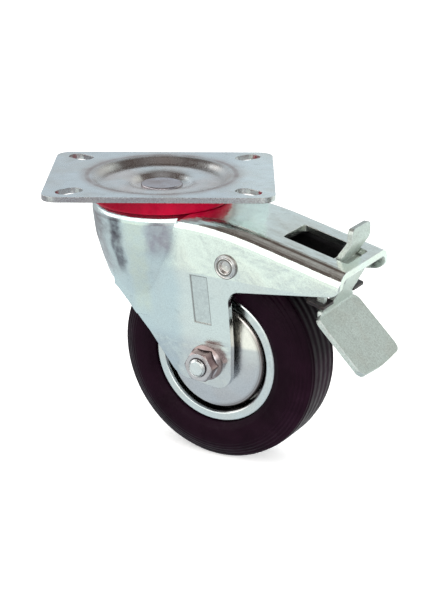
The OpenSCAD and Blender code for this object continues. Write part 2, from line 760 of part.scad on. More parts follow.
// The black spring leaf: brake shoe over the tyre behind the pivot, lock tab in front of it
module brake_leaf() {
    front = lock_r - 2;
    front_top = king_nut_z - 1.4;
    room = 0.35;
    line = bent([[front, front_top, 0], [front, -26.4, 1.5], [44, -27.9, 10], [60, -33.4, 60],
                 [leaf_end[0], leaf_end[1], 0]]);
    plan = [[front - 2, 2, 0], [front + 2.5, 2, 1.2], [front + 8, leaf_half, 3], [86, leaf_half, 1.5],
            [86.6, leaf_finger[1], 1], [leaf_end[0], leaf_finger[1], 0.8],
            [leaf_end[0], leaf_finger[0], 0.5], [90.2, leaf_finger[0], 0.8]];
    color(black_steel)
    turned()
    difference() {
        intersection() {
            across(lots / 2) polygon(sheet(line, leaf_t));
            translate([0, 0, -lots / 2]) linear_extrude(lots)
                polygon(rounded(concat(plan, [for (p = reversed(plan)) [p[0], -p[1], p[2]]])));
        }
        for (side = [-1, 1])
            translate([tab_x[0] - room, side > 0 ? tab_y[0] - room : -tab_y[1] - room, -lots / 2])
                cube([tab_x[1] - tab_x[0] + 2 * room, tab_y[1] - tab_y[0] + 2 * room, lots]);
    }
}

top_plate();
king_pin();
race_spacer();
lower_race();
lock_ring();
king_nut();
fork();
dust_seal();
upper_balls();
lower_balls();
pivot_rivets();
axle_bolt();
axle_nut();
far_washer();
axle_sleeve();
tyre();
near_rim();
far_rim();
near_dust_cover();
far_dust_cover();
hub_tube();
roller_cage();
rollers();
brake_lever();
brake_leaf();
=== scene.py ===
"""Looks for a swivel plate caster with a foot brake: plated steel, black rubber and a crimson seal."""

import json
import math

import bpy
import numpy as np
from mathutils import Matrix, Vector


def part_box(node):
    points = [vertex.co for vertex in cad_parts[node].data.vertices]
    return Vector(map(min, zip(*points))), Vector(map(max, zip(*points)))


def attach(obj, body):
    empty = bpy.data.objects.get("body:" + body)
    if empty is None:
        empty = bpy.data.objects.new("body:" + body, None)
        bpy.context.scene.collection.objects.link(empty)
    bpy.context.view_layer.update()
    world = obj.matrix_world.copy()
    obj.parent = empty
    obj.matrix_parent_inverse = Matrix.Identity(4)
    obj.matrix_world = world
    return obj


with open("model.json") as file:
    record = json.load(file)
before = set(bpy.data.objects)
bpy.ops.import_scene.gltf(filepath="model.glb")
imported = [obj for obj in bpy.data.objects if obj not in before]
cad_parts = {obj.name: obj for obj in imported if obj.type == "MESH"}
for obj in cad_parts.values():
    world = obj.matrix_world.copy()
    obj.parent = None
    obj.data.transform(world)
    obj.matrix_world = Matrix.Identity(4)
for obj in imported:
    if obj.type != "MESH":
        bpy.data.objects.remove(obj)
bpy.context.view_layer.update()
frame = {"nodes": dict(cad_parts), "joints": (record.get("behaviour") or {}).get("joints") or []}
nodes = frame["nodes"]

MM = 0.001


def joint_place(name):
    """A joint's place in the turned fork's own X and Z: how far behind the swivel axis, and its height."""
    x, y, z = next(joint["pos_m"] for joint in frame["joints"] if joint["name"] == name)
    return math.hypot(x, y), z


AXLE = joint_place("wheel_spin")
PIVOT = joint_place("brake_pedal")
SWIVEL_TURN = math.radians(-30)             # the fork's turn about the swivel axis
NEAR_SIDE = (math.sin(SWIVEL_TURN), -math.cos(SWIVEL_TURN), 0.0)    # the axle's direction, to the near side
PEDAL_SLOPE = math.radians(44.5)
DISH_EDGE = 34.6 * MM                       # radius where the plate rolls into its dish
DISH_OUTSIDE = 40 * MM                      # radius where the plate is flat again outside that roll
UNDER_HEAD = -15.5 * MM                     # height just below the fork's flat head
FIELD_MIDDLE = (34.65 * MM, -48.7 * MM)     # the stamped field on the near leg, in the fork's own X and Z
FIELD_HALF = (4.3 * MM, 11.7 * MM)
FIELD_SLANT = 0.03                          # how far its middle line moves forwards for each step up

# The apron's front edge as a line in the fork's own X and Z: a X + b Z + c is the distance behind it
FRONT_EDGE = (0.7745, 0.632, 39.93 * MM)

# Painted reflections round the fork's apron, bands standing in for the studio mirrored in its curve:
# bearing of the middle and half width in radians, from 0 at the front to pi at the arm, lowest height, tone
# and depth
APRON_PAINTED_REFLECTIONS = (
    (0.60, 0.86, -43 * MM, (0.47, 0.37, 0.39, 1), 1.0),     # painted dull grey reflection at the front
    (1.40, 0.15, -40 * MM, (0.26, 0.23, 0.26, 1), 0.95),    # painted dark reflection streak
    (1.74, 0.26, -60 * MM, (1.10, 1.05, 0.93, 1), 0.9),     # painted warm bright reflection band
    (2.08, 0.24, -30 * MM, (0.60, 0.49, 0.55, 1), 0.9),     # painted clouded reflection patch
)

# The studio's own colours over height: 0 is straight down, 0.5 level and 1 straight up
STUDIO_RAMP = (
    (0.0, (0.56, 0.62, 0.66, 1)),           # pale blue-grey table
    (0.29, (0.74, 0.82, 0.84, 1)),
    (0.335, (0.48, 0.52, 0.54, 1)),         # walls, from the table's far edge up
    (0.50, (0.44, 0.43, 0.43, 1)),
    (0.60, (0.58, 0.63, 0.67, 1)),
    (0.68, (0.66, 0.74, 0.79, 1)),
    (0.76, (0.56, 0.61, 0.63, 1)),
    (0.82, (0.32, 0.29, 0.27, 1)),
    (0.87, (0.085, 0.06, 0.055, 1)),        # dark warm ceiling
    (0.94, (0.10, 0.075, 0.065, 1)),
    (0.975, (0.20, 0.17, 0.16, 1)),
    (1.0, (0.45, 0.43, 0.42, 1)),           # paler straight overhead
)

# Panels round the studio, later ones over earlier ones: bearing of the middle, half width and softness in
# degrees, lowest and highest Z of the direction, and colour
PANELS = (
    (150, 28, 8, -0.35, 0.08, (0.52, 0.53, 0.55, 1)),       # grey wall at the left
    (226, 24, 5, -0.35, 0.10, (0.95, 1.04, 0.98, 1)),       # bright wall behind the camera's left
    (188, 7, 4, -0.42, 0.08, (0.20, 0.19, 0.22, 1)),        # dark pillar
    (262, 9, 4, -0.42, 0.10, (0.42, 0.41, 0.44, 1)),        # the camera's own shade
    (287, 12, 5, -0.37, 0.08, (0.85, 0.86, 0.84, 1)),       # bright wall at its right
    (225, 84, 14, 0.12, 0.64, (2.0, 2.0, 1.95, 1)),         # high window
    (40, 38, 8, -0.85, 0.10, (1.00, 1.10, 1.06, 1)),        # bright wall at the right
    (36, 24, 8, 0.20, 0.70, (0.86, 0.92, 0.88, 1)),         # its upper part
)


# Node helpers

def feed(tree, node, links):
    """Gives each named input of a node either a number or colour, or the socket it comes from."""
    for name, value in links.items():
        socket = node.inputs[name]
        if isinstance(value, bpy.types.NodeSocket):
            tree.links.new(value, socket)
        else:
            socket.default_value = value


def add(tree, kind, links=None, **settings):
    """One shader node with its settings, and its inputs fed from links."""
    made = tree.nodes.new(kind)
    for name, value in settings.items():
        setattr(made, name, value)
    feed(tree, made, links or {})
    return made


def maths(tree, operation, a, b=0.0, c=0.0):
    """The result of one Math node."""
    return add(tree, "ShaderNodeMath", {0: a, 1: b, 2: c}, operation=operation).outputs[0]


def times(tree, *values):
    """The product of several values."""
    result = values[0]
    for value in values[1:]:
        result = maths(tree, "MULTIPLY", result, value)
    return result


def spread(tree, value, low, high, to_low=0.0, to_high=1.0):
    """value moved from the range low to high onto to_low to to_high, smoothly, and held there."""
    return add(tree, "ShaderNodeMapRange",
               {"Value": value, "From Min": low, "From Max": high, "To Min": to_low, "To Max": to_high},
               interpolation_type="SMOOTHSTEP").outputs["Result"]


def band(tree, value, middle, outer, inner):
    """1 where value is less than inner away from middle, falling smoothly to 0 at outer."""
    gap = maths(tree, "ABSOLUTE", maths(tree, "SUBTRACT", value, middle))
    return spread(tree, gap, outer, inner)


def blend(tree, factor, a, b, mode="MIX"):
    """Colour a turned into b, or into a times b with the mode MULTIPLY, by factor."""
    return add(tree, "ShaderNodeMix", {0: factor, 6: a, 7: b}, data_type="RGBA", blend_type=mode).outputs[2]


def parts(tree, vector, axes="XYZ"):
    """The named parts of a vector."""
    split = add(tree, "ShaderNodeSeparateXYZ", {0: vector})
    return [split.outputs[axis] for axis in axes]


def reach(tree, a, b):
    """The length of the flat vector (a, b)."""
    flat = add(tree, "ShaderNodeCombineXYZ", {0: a, 1: b}).outputs[0]
    return add(tree, "ShaderNodeVectorMath", {0: flat}, operation="LENGTH").outputs["Value"]


def ridges(tree, value, step):
    """A sine wave from -1 to 1 over value, one wave for each step."""
    return maths(tree, "SINE", times(tree, value, 2 * math.pi / step))


def surface_normal(tree):
    """The normal of the surface, before any bump."""
    return add(tree, "ShaderNodeNewGeometry").outputs["Normal"]


def bumped(tree, height, depth, strength=1.0, over=None):
    """The normal of a surface raised by height times depth in metres, on top of the normal over."""
    links = {"Strength": strength, "Distance": depth, "Height": height}
    if over is not None:
        links["Normal"] = over
    return add(tree, "ShaderNodeBump", links).outputs["Normal"]


def noise(tree, where, scale, detail=3.0, rough=0.5, warp=0.0):
    """The value of a Noise Texture read at where."""
    return add(tree, "ShaderNodeTexNoise",
               {"Vector": where, "Scale": scale, "Detail": detail, "Roughness": rough,
                "Distortion": warp}).outputs["Fac"]


def clouds(tree, where, scale, cut, levels=(0.0, 1.0), detail=3.0, rough=0.5):
    """Soft patches: noise, moved from the range cut onto the two levels."""
    return spread(tree, noise(tree, where, scale, detail, rough), *cut, *levels)


def group(name, takes, gives):
    """An empty shader node group with its named sockets: (group, input node, output node)."""
    tree = bpy.data.node_groups.new(name, "ShaderNodeTree")
    for socket, kind, value in takes:
        made = tree.interface.new_socket(name=socket, in_out="INPUT", socket_type=kind)
        if value is not None:
            made.default_value = value
    for socket, kind in gives:
        tree.interface.new_socket(name=socket, in_out="OUTPUT", socket_type=kind)
    return tree, tree.nodes.new("NodeGroupInput"), tree.nodes.new("NodeGroupOutput")


def use(tree, made, links):
    """One placing of a node group in a material."""
    return add(tree, "ShaderNodeGroup", links, node_tree=made)


NUMBER, COLOUR, VECTOR = "NodeSocketFloat", "NodeSocketColor", "NodeSocketVector"


# Effects that several materials share

def plating_group():
    """Zinc plating: warm patches on a cool tint, small stains, a fine grain and clouds of roughness."""
    tree, given, out = group(
        "Plating",
        [("Where", VECTOR, None),
         ("Cool", COLOUR, (0.7, 0.76, 0.77, 1)), ("Warm", COLOUR, (0.7, 0.66, 0.6, 1)),
         ("Patch Scale", NUMBER, 60.0), ("Warmth", NUMBER, 0.4),
         ("Smooth", NUMBER, 0.16), ("Dull", NUMBER, 0.34)],
        [("Colour", COLOUR), ("Roughness", NUMBER), ("Waviness", NUMBER)])
    where = given.outputs["Where"]
    patches = noise(tree, where, given.outputs["Patch Scale"], rough=0.55, warp=0.4)
    small = noise(tree, where, 190.0, detail=4.0, rough=0.6)
    warm = times(tree, spread(tree, patches, 0.42, 0.68), given.outputs["Warmth"])
    colour = blend(tree, warm, given.outputs["Cool"], given.outputs["Warm"])
    stain = spread(tree, small, 0.60, 0.76, 0.0, 0.22)
    colour = blend(tree, stain, colour, (0.40, 0.42, 0.42, 1))
    grain = clouds(tree, where, 1500.0, (0.3, 0.7), (0.95, 1.04), detail=2.0, rough=0.6)
    colour = blend(tree, 1.0, colour, grain, "MULTIPLY")
    mixed = maths(tree, "MULTIPLY_ADD", patches, 0.4, times(tree, small, 0.6))
    rough = add(tree, "ShaderNodeMapRange",
                {"Value": mixed, "From Min": 0.32, "From Max": 0.66, "To Min": given.outputs["Smooth"],
                 "To Max": given.outputs["Dull"]}).outputs["Result"]
    wave = maths(tree, "MULTIPLY_ADD", small, 0.12, patches)
    feed(tree, out, {"Colour": colour, "Roughness": rough, "Waviness": wave})
    return tree


def edge_group():
    """Rolled edges: a normal that rolls over each sharp edge, and how near the surface is to one."""
    tree, given, out = group("Rolled Edge", [("Radius", NUMBER, 0.0005)],
                             [("Normal", VECTOR), ("Edge", NUMBER)])
    rolled = add(tree, "ShaderNodeBevel", {"Radius": given.outputs["Radius"]}, samples=4).outputs["Normal"]
    cosine = add(tree, "ShaderNodeVectorMath", {0: rolled, 1: surface_normal(tree)},
                 operation="DOT_PRODUCT").outputs["Value"]
    feed(tree, out, {"Normal": rolled, "Edge": spread(tree, cosine, 0.995, 0.80)})
    return tree


def scratch_group():
    """Handling marks: long thin streaks, from noise stretched along one direction, cut to its crests."""
    tree, given, out = group(
        "Handling Marks",
        [("Where", VECTOR, None), ("Stretch", VECTOR, (60.0, 60.0, 1200.0)), ("Amount", NUMBER, 0.5)],
        [("Marks", NUMBER)])
    stretched = add(tree, "ShaderNodeVectorMath", {0: given.outputs["Where"], 1: given.outputs["Stretch"]},
                    operation="MULTIPLY").outputs["Vector"]
    streaks = clouds(tree, stretched, 1.0, (0.56, 0.72), rough=0.65)
    feed(tree, out, {"Marks": times(tree, streaks, given.outputs["Amount"])})
    return tree


def dust_group():
    """Pale dust, most of it on what faces up, broken up by two sizes of noise."""
    tree, given, out = group("Dust", [("Where", VECTOR, None), ("Amount", NUMBER, 0.3)], [("Dust", NUMBER)])
    where = given.outputs["Where"]
    facing = spread(tree, parts(tree, surface_normal(tree), "Z")[0], -0.2, 0.9, 0.25, 1.0)
    speckle = clouds(tree, where, 420.0, (0.42, 0.75), detail=5.0, rough=0.7)
    cloud = clouds(tree, where, 55.0, (0.35, 0.70))
    feed(tree, out, {"Dust": times(tree, facing, speckle, cloud, given.outputs["Amount"])})
    return tree


PLATING = plating_group()
ROLLED_EDGE = edge_group()
MARKS = scratch_group()
DUST = dust_group()


# Finishes

def material(name):
    """A new material with its Principled shader: (material, tree, shader, place on the object)."""
    made = bpy.data.materials.new(name)
    made.use_nodes = True
    tree = made.node_tree
    tree.nodes.clear()
    shader = add(tree, "ShaderNodeBsdfPrincipled")
    add(tree, "ShaderNodeOutputMaterial", {"Surface": shader.outputs["BSDF"]})
    place = add(tree, "ShaderNodeTexCoord").outputs["Object"]
    return made, tree, shader, place


def turned_place(tree, place, turn, centre=(0, 0, 0)):
    """Object coordinates moved to centre and turned, so that a pattern lines up with its piece."""
    return add(tree, "ShaderNodeMapping",
               {"Vector": place, "Location": centre, "Rotation": turn},
               vector_type="TEXTURE").outputs["Vector"]


def fork_place(tree, place):
    """Object coordinates turned with the fork: X back along the arm, Y to the far side."""
    return turned_place(tree, place, (0.0, 0.0, SWIVEL_TURN))


def plated(name, cool, warm, patch=60.0, warmth=0.4, smooth=0.16, dull=0.34, wave=0.4 * MM,
           edge=0.5 * MM, tint=None, soften=None, roll=7 * MM, stretch=(60.0, 60.0, 1200.0)):
    """Plated sheet steel, cool with warm patches, its roughness between smooth and dull. patch is the
    patches' noise scale, wave the height of the sheet's soft waviness, edge the radius of its edges, and
    stretch the scale of its handling marks along X, Y and Z. tint takes (tree, place, colour) and gives
    the colour with this piece's own shades. soften takes (tree, place) and gives how far the surface's
    creases are rolled over the wide radius roll there."""
    made, tree, shader, place = material(name)
    zinc = use(tree, PLATING, {"Where": place, "Cool": cool, "Warm": warm, "Patch Scale": patch,
                               "Warmth": warmth, "Smooth": smooth, "Dull": dull})
    rolled = use(tree, ROLLED_EDGE, {"Radius": edge})
    streaks = use(tree, MARKS, {"Where": place, "Stretch": stretch, "Amount": 0.25}).outputs["Marks"]
    # Edges painted near white: partly wear, partly painted highlight.
    worn_and_highlit_edge = times(tree, rolled.outputs["Edge"], 0.7)
    colour = blend(tree, worn_and_highlit_edge, zinc.outputs["Colour"], (0.93, 0.95, 0.95, 1))
    colour = blend(tree, times(tree, streaks, 0.35), colour, (0.86, 0.88, 0.88, 1))
    if tint:
        colour = tint(tree, place, colour)
    rough = maths(tree, "MULTIPLY_ADD", streaks, 0.12, zinc.outputs["Roughness"])
    normal = rolled.outputs["Normal"]
    if soften:
        wide = use(tree, ROLLED_EDGE, {"Radius": roll}).outputs["Normal"]
        turned = add(tree, "ShaderNodeMix", {0: soften(tree, place), 4: normal, 5: wide},
                     data_type="VECTOR")
        normal = add(tree, "ShaderNodeVectorMath", {0: turned.outputs[1]}, operation="NORMALIZE").outputs[0]
    normal = bumped(tree, zinc.outputs["Waviness"], wave, over=normal)
    feed(tree, shader, {"Base Color": colour, "Roughness": rough, "Normal": normal, "Metallic": 1.0})
    return made


def plate_tint(tree, place, colour):
    """The plate: a painted highlight brightening its right end, brown painted reflection round the pressed
    dish, a dark painted shade line where the plate rolls into it, warm clouds on its floor, and fine brown
    speckle on upright cut faces."""
    x, y = parts(tree, place, "XY")
    radius = reach(tree, x, y)
    # Painted highlight: the right end multiplied brighter.
    painted_highlight = spread(tree, x, 26 * MM, 46 * MM)
    colour = blend(tree, painted_highlight, colour, (1.22, 1.24, 1.20, 1), "MULTIPLY")
    # Painted reflection: brown clouds over the dish's walls and roll.
    ring = times(tree, spread(tree, radius, DISH_OUTSIDE, 35 * MM), spread(tree, radius, 18 * MM, 29 * MM))
    painted_reflection_cloud = clouds(tree, place, 60.0, (0.30, 0.62), (0.35, 1.0))
    colour = blend(tree, times(tree, ring, painted_reflection_cloud, 0.60), colour, (0.46, 0.37, 0.34, 1))
    # Painted shade: a dark line round the dish's edge, broken up by patchy clouds.
    line = band(tree, radius, DISH_EDGE, 1.6 * MM, 0.4 * MM)
    patchiness = clouds(tree, place, 110.0, (0.30, 0.60), (0.3, 1.0), rough=0.6)
    colour = blend(tree, times(tree, line, patchiness, 0.75), colour, (0.36, 0.28, 0.27, 1))
    floor = spread(tree, radius, 30 * MM, 24 * MM)
    warm = clouds(tree, place, 42.0, (0.38, 0.62), (0.15, 0.8))
    colour = blend(tree, times(tree, floor, warm), colour, (0.78, 0.71, 0.69, 1))
    upright = spread(tree, maths(tree, "ABSOLUTE", parts(tree, surface_normal(tree), "Z")[0]), 0.5, 0.2)
    speckle = clouds(tree, place, 1500.0, (0.38, 0.64), (0.25, 0.75), detail=4.0, rough=0.7)
    return blend(tree, times(tree, upright, speckle), colour, (0.34, 0.28, 0.28, 1))


def dish_soften(tree, place):
    """The whole pressed dish, up to just outside the roll at its edge."""
    return spread(tree, reach(tree, *parts(tree, place, "XY")), DISH_OUTSIDE, 36.5 * MM, 0.0, 0.85)


def painted_apron_reflections(tree, place, colour, along, aside, rise):
    """The painted reflection bands listed round the apron, mottled and with wavering sides, on what lies
    below the fork's head.
    """
    bearing = maths(tree, "ARCTAN2", maths(tree, "ABSOLUTE", aside), times(tree, along, -1.0))
    waver = maths(tree, "MULTIPLY_ADD", noise(tree, place, 90.0, detail=4.0, rough=0.6), 0.30, -0.15)
    bearing = maths(tree, "ADD", bearing, waver)
    mottle = clouds(tree, place, 210.0, (0.35, 0.62), (0.60, 1.0), detail=4.0, rough=0.65)
    below = spread(tree, rise, UNDER_HEAD + 2 * MM, UNDER_HEAD)
    for middle, half, low, tone, depth in APRON_PAINTED_REFLECTIONS:
        inside = band(tree, bearing, middle, half, half * 0.3)
        above = spread(tree, rise, low - 4 * MM, low + 5 * MM)
        colour = blend(tree, times(tree, inside, above, below, mottle, depth), colour, tone, "MULTIPLY")
    return colour


def stamped_field(tree, place, colour, along, aside, rise):
    """The slanted field on the near leg. outside is its box distance: the larger of the distance beyond
    the sides and beyond the ends. The floor is dull where outside is below 0, and a dark painted shade line
    runs round its edge where it is 0."""
    up = maths(tree, "SUBTRACT", rise, FIELD_MIDDLE[1])
    across = maths(tree, "MULTIPLY_ADD", up, FIELD_SLANT, maths(tree, "SUBTRACT", along, FIELD_MIDDLE[0]))
    outside = maths(tree, "MAXIMUM",
                    maths(tree, "SUBTRACT", maths(tree, "ABSOLUTE", across), FIELD_HALF[0]),
                    maths(tree, "SUBTRACT", maths(tree, "ABSOLUTE", up), FIELD_HALF[1]))
    near_leg = spread(tree, aside, -17 * MM, -19 * MM)
    floor = spread(tree, outside, 0.1 * MM, -0.2 * MM)
    patchiness = clouds(tree, place, 520.0, (0.35, 0.65), (0.25, 0.5), rough=0.6)
    colour = blend(tree, times(tree, near_leg, floor, patchiness), colour, (0.50, 0.52, 0.52, 1))
    # Painted shade: a dark line along the field's edge.
    line = band(tree, outside, 0.0, 0.45 * MM, 0.15 * MM)
    return blend(tree, times(tree, near_leg, line, 0.65), colour, (0.26, 0.24, 0.23, 1))


def fork_tint(tree, place, colour):
    """The fork: a painted blue-grey reflection in front of a wavering upright line, with the apron's
    painted reflections over it, greener behind it, darker towards the foot of the legs, and the stamped
    field."""
    along, aside, rise = parts(tree, fork_place(tree, place))
    waver = maths(tree, "MULTIPLY_ADD", noise(tree, place, 45.0), 8 * MM, -4 * MM)
    front = spread(tree, maths(tree, "ADD", along, waver), 26.5 * MM, 18.5 * MM)
    # Painted reflection: the front part multiplied blue-grey.
    colour = blend(tree, front, colour, (0.84, 0.90, 0.95, 1), "MULTIPLY")
    colour = painted_apron_reflections(tree, place, colour, along, aside, rise)
    foot = spread(tree, rise, -66 * MM, -74 * MM)
    colour = blend(tree, times(tree, foot, 0.9), colour, (0.78, 0.76, 0.82, 1), "MULTIPLY")
    return stamped_field(tree, place, colour, along, aside, rise)


def apron_soften(tree, place):
    """Where the fork's round apron flows into its flat legs: from below the head down to the legs' taper,
    ahead of the pivot, and clear of the apron's front edge."""
    along, rise = parts(tree, fork_place(tree, place), "XZ")
    a, b, c = FRONT_EDGE
    inset = maths(tree, "MULTIPLY_ADD", along, a, maths(tree, "MULTIPLY_ADD", rise, b, c))
    clear = spread(tree, inset, 4 * MM, 9 * MM)
    ahead = spread(tree, along, 34 * MM, 26 * MM)
    below = spread(tree, rise, UNDER_HEAD, UNDER_HEAD - 4.5 * MM)
    return times(tree, clear, ahead, below)


def axle_place(tree, place):
    """A point about the turned fork's axle: distance from its line, place along it, back and up."""
    centre = (AXLE[0] * math.cos(SWIVEL_TURN), AXLE[0] * math.sin(SWIVEL_TURN), AXLE[1])
    back, along, up = parts(tree, turned_place(tree, place, (0.0, 0.0, SWIVEL_TURN), centre))
    return reach(tree, back, up), along, back, up


def painted_shade_side(tree, radius, back, up):
    """-1 to 1: how far a point round the axle lies to the side where the painted shade in the rim's gap is
    deepest, 25 degrees below the line straight back."""
    drop = math.radians(25)
    lean = maths(tree, "ADD", times(tree, back, math.cos(drop)), times(tree, up, -math.sin(drop)))
    return maths(tree, "DIVIDE", lean, radius)


def rim_tint(tree, place, colour):
    """Dark brown painted shade inside the rim's wall and on the web behind the dust cover, deepest at the
    back.
    """
    radius, _, back, up = axle_place(tree, place)
    inside = spread(tree, radius, 27.4 * MM, 26.8 * MM)
    cloud = clouds(tree, place, 150.0, (0.3, 0.6), (0.6, 0.92), rough=0.6)
    # Painted shade: deepest at the back of the gap.
    painted_shade_depth = spread(tree, painted_shade_side(tree, radius, back, up), -0.55, 0.20, 0.12, 1.0)
    return blend(tree, times(tree, inside, cloud, painted_shade_depth), colour, (0.09, 0.065, 0.06, 1))


def cover_tint(tree, place, colour):
    """The dust cover: a creamy painted highlight wedge above and behind the axle, a darker lilac-grey
    painted reflection elsewhere, and brown rings of painted shade on its rolled edge, on the side where the
    rim's painted shade is deepest."""
    radius, _, back, up = axle_place(tree, place)
    # Painted highlight above and behind the axle; elsewhere a darker painted reflection.
    painted_highlight = times(tree, spread(tree, up, 6.2 * MM, 8.5 * MM), spread(tree, back, 4 * MM, 10 * MM))
    tone = blend(tree, painted_highlight, (0.81, 0.80, 0.82, 1), (1.22, 1.13, 1.06, 1))
    colour = blend(tree, 1.0, colour, tone, "MULTIPLY")
    # Painted shade: brown rings on the rolled edge beside the gap.
    side = spread(tree, painted_shade_side(tree, radius, back, up), 0.10, 0.75)
    rolled_edge = spread(tree, radius, 22.2 * MM, 24.6 * MM)
    rings = maths(tree, "MULTIPLY_ADD", ridges(tree, radius, 0.9 * MM), 0.2, 0.75)
    return blend(tree, times(tree, side, rolled_edge, rings), colour, (0.16, 0.12, 0.115, 1))


def nut_painted_light(tree, place, colour):
    """The nut, shaded in paint: painted shade on its side faces, a browner painted reflection where they
    face up, a dark painted shade on the flange, and a dark painted shadow line where the bolt comes through
    its end face."""
    radius = axle_place(tree, place)[0]
    normal = surface_normal(tree)
    facing = maths(tree, "ABSOLUTE", add(tree, "ShaderNodeVectorMath", {0: normal, 1: NEAR_SIDE},
                                         operation="DOT_PRODUCT").outputs["Value"])
    # Painted shade on the side faces, and a painted reflection of the dark ceiling on the upward faces.
    sides = spread(tree, facing, 0.75, 0.45)
    colour = blend(tree, sides, colour, (0.46, 0.38, 0.38, 1), "MULTIPLY")
    upward = spread(tree, parts(tree, normal, "Z")[0], 0.25, 0.60)
    colour = blend(tree, upward, colour, (0.42, 0.34, 0.33, 1), "MULTIPLY")
    # Painted shade on the flange.
    flange = spread(tree, radius, 6.6 * MM, 7.3 * MM)
    cloud = clouds(tree, place, 260.0, (0.30, 0.62), (0.45, 1.0), rough=0.6)
    colour = blend(tree, times(tree, flange, cloud, 0.9), colour, (0.27, 0.20, 0.19, 1))
    # Painted shadow round the bolt's end.
    hole = spread(tree, radius, 5.0 * MM, 4.4 * MM)
    return blend(tree, hole, colour, (0.07, 0.055, 0.06, 1))


def rivet_tint(tree, place, colour):
    """Two dark rings round each rivet's head, at distances from the pivot's axis."""
    along, rise = parts(tree, fork_place(tree, place), "XZ")
    radius = reach(tree, maths(tree, "SUBTRACT", along, PIVOT[0]), maths(tree, "SUBTRACT", rise, PIVOT[1]))
    for middle, depth in ((3.6 * MM, 0.85), (5.6 * MM, 0.7)):
        ring = band(tree, radius, middle, 0.5 * MM, 0.2 * MM)
        colour = blend(tree, times(tree, ring, depth), colour, (0.10, 0.08, 0.07, 1))
    return colour


def brushed_pedal():
    """The lever stamping: matt zinc with a fine grain down the pedal's slope, dull speckle, and painted
    highlights along its edges. The channel inside the arm is painted near black as shade."""
    made, tree, shader, place = material("pedal_zinc")
    zinc = use(tree, PLATING, {"Where": place, "Cool": (0.74, 0.80, 0.76, 1), "Warm": (0.72, 0.72, 0.66, 1),
                               "Patch Scale": 95.0, "Warmth": 0.4, "Smooth": 0.30, "Dull": 0.46})
    rolled = use(tree, ROLLED_EDGE, {"Radius": 0.6 * MM})
    down_slope = turned_place(tree, place, (0.0, PEDAL_SLOPE, SWIVEL_TURN))
    grain = use(tree, MARKS, {"Where": down_slope, "Stretch": (160.0, 2600.0, 2600.0),
                              "Amount": 1.0}).outputs["Marks"]
    speckle = clouds(tree, place, 1300.0, (0.42, 0.64), detail=4.0, rough=0.75)
    colour = blend(tree, times(tree, grain, 0.4), zinc.outputs["Colour"], (0.86, 0.89, 0.87, 1))
    colour = blend(tree, times(tree, speckle, 0.50), colour, (0.42, 0.44, 0.40, 1))
    # Painted highlight along the edges.
    colour = blend(tree, times(tree, rolled.outputs["Edge"], 0.9), colour, (0.95, 0.97, 0.97, 1))
    # Painted shade: the channel inside the arm is near black.
    painted_shade_inside_arm = spread(tree, parts(tree, fork_place(tree, place), "X")[0], 90.5 * MM, 89.5 * MM)
    colour = blend(tree, times(tree, painted_shade_inside_arm, 0.96), colour, (0.03, 0.025, 0.03, 1))
    height = maths(tree, "MULTIPLY_ADD", grain, 0.5, speckle)
    normal = bumped(tree, height, 0.08 * MM, 0.7, rolled.outputs["Normal"])
    feed(tree, shader, {"Base Color": colour, "Roughness": zinc.outputs["Roughness"], "Normal": normal,
                        "Metallic": 1.0})
    return made


def rubber():
    """The tyre: smooth black rubber with a wine tint and a little dust. Moulding rings run at even steps
    round the outer part of each side and round the tread."""
    made, tree, shader, place = material("tyre_rubber")
    radius, along = axle_place(tree, place)[:2]
    dust = use(tree, DUST, {"Where": place, "Amount": 0.03}).outputs["Dust"]
    tone = clouds(tree, place, 70.0, (0.3, 0.7), detail=4.0, rough=0.6)
    colour = blend(tree, tone, (0.0062, 0.0012, 0.0043, 1), (0.0100, 0.0024, 0.0072, 1))
    colour = blend(tree, dust, colour, (0.25, 0.21, 0.23, 1))
    rough = clouds(tree, place, 240.0, (0.25, 0.75), (0.34, 0.50), detail=4.0, rough=0.6)
    side = times(tree, spread(tree, radius, 41.5 * MM, 42.5 * MM), spread(tree, radius, 49 * MM, 48 * MM),
                 ridges(tree, radius, 1.6 * MM))
    tread = times(tree, spread(tree, radius, 48 * MM, 49 * MM), ridges(tree, along, 4.5 * MM), 1.2)
    grain = times(tree, noise(tree, place, 2600.0, detail=2.0, rough=0.6), 0.25)
    height = maths(tree, "ADD", maths(tree, "ADD", side, tread), grain)
    feed(tree, shader, {"Base Color": colour, "Roughness": rough, "Normal": bumped(tree, height, 0.10 * MM),
                        "Specular IOR Level": 0.05})
    return made


def seal_plastic():
    """The dust seal: glossy crimson plastic with a faint darker cloud."""
    made, tree, shader, place = material("red_seal")
    cloud = clouds(tree, place, 120.0, (0.3, 0.7))
    colour = blend(tree, cloud, (0.29, 0.0003, 0.018, 1), (0.235, 0.0003, 0.015, 1))
    rough = clouds(tree, place, 300.0, (0.3, 0.7), (0.22, 0.34), rough=0.6)
    normal = bumped(tree, noise(tree, place, 900.0, detail=2.0), 0.05 * MM, 0.2)
    feed(tree, shader, {"Base Color": colour, "Roughness": rough, "Normal": normal,
                        "Specular IOR Level": 0.09})
    return made


def bearing_steel():
    """Races, balls and rollers: bare bright steel under a thin brown film of grease."""
    made, tree, shader, place = material("bright_steel")
    film = clouds(tree, place, 160.0, (0.40, 0.66), detail=4.0, rough=0.6)
    colour = blend(tree, film, (0.58, 0.58, 0.58, 1), (0.36, 0.31, 0.24, 1))
    rolled = use(tree, ROLLED_EDGE, {"Radius": 0.3 * MM}).outputs["Normal"]
    feed(tree, shader, {"Base Color": colour, "Roughness": spread(tree, film, 0.0, 1.0, 0.16, 0.36),
                        "Normal": bumped(tree, film, 0.08 * MM, 0.3, rolled), "Metallic": 1.0})
    return made


